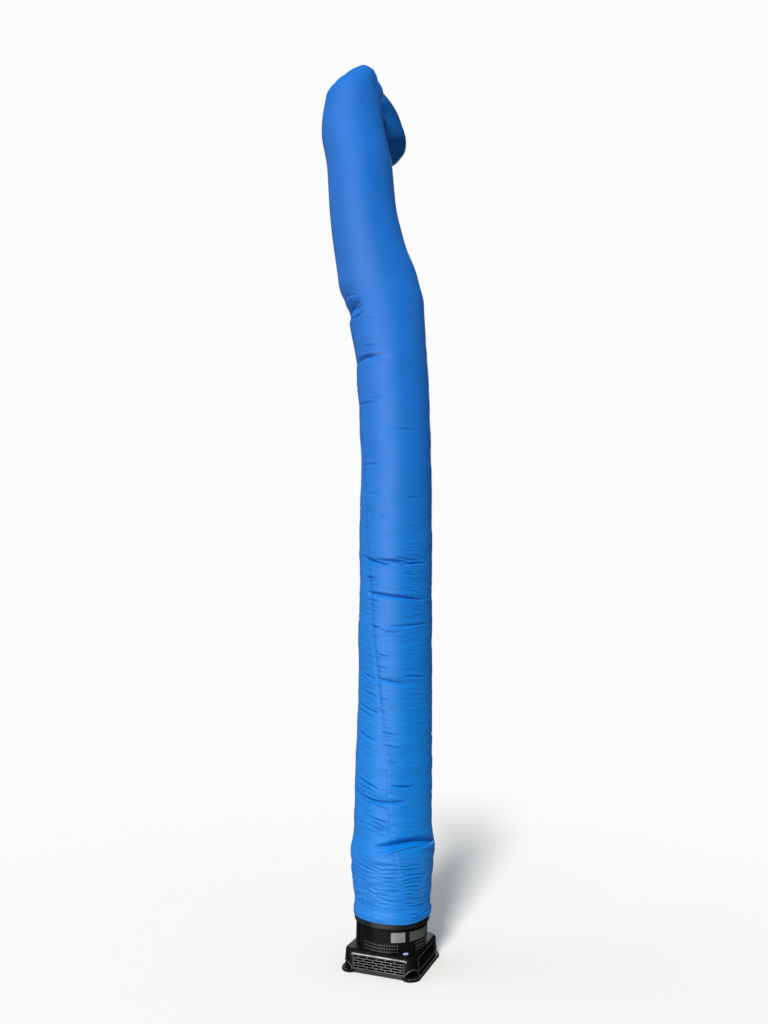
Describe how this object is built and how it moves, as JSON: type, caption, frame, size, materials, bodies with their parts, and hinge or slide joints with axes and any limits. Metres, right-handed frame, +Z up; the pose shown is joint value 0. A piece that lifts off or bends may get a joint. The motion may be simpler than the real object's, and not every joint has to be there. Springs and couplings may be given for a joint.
{
  "type": "inflatable air dancer with its floor blower",
  "caption": "Tall inflatable nylon tube that leans, kinks and flops over at its closed top, hemmed round the outlet of a square floor blower with a round fan drum and slotted grilles.",
  "frame": {"origin": "on the floor under the middle of the square blower, on its flat underside", "axes": "+Z up; the blower's sides run along X and Y, and its front grille, beside the small label plate, faces -Y"},
  "size_m": [0.8311, 0.8573, 5.9229],
  "materials": {
    "blue_nylon": "plain woven nylon with a soft sheen, creased",
    "black_housing_plastic": "moulded, satin black",
    "grey_grille_plastic": "moulded, satin dark grey",
    "bare_label_film": "plain light grey film, left bare",
    "pale_blue_button": "glossy pale blue",
    "black_rubber": "dull black"
  },
  "bodies": {
    "root": {"dancer_tube": "blue_nylon", "base_sleeve": "blue_nylon", "outlet_collar": "black_housing_plastic", "fan_drum": "black_housing_plastic", "front_right_post": "black_housing_plastic", "back_right_post": "black_housing_plastic", "back_left_post": "black_housing_plastic", "front_left_post": "black_housing_plastic", "base_housing": "black_housing_plastic", "left_runner": "black_housing_plastic", "right_runner": "black_housing_plastic", "front_grille": "grey_grille_plastic", "back_grille": "grey_grille_plastic", "rating_plate": "bare_label_film", "care_plate": "bare_label_film", "oval_button": "pale_blue_button", "cord_gland": "black_rubber"}
  },
  "joints": []
}
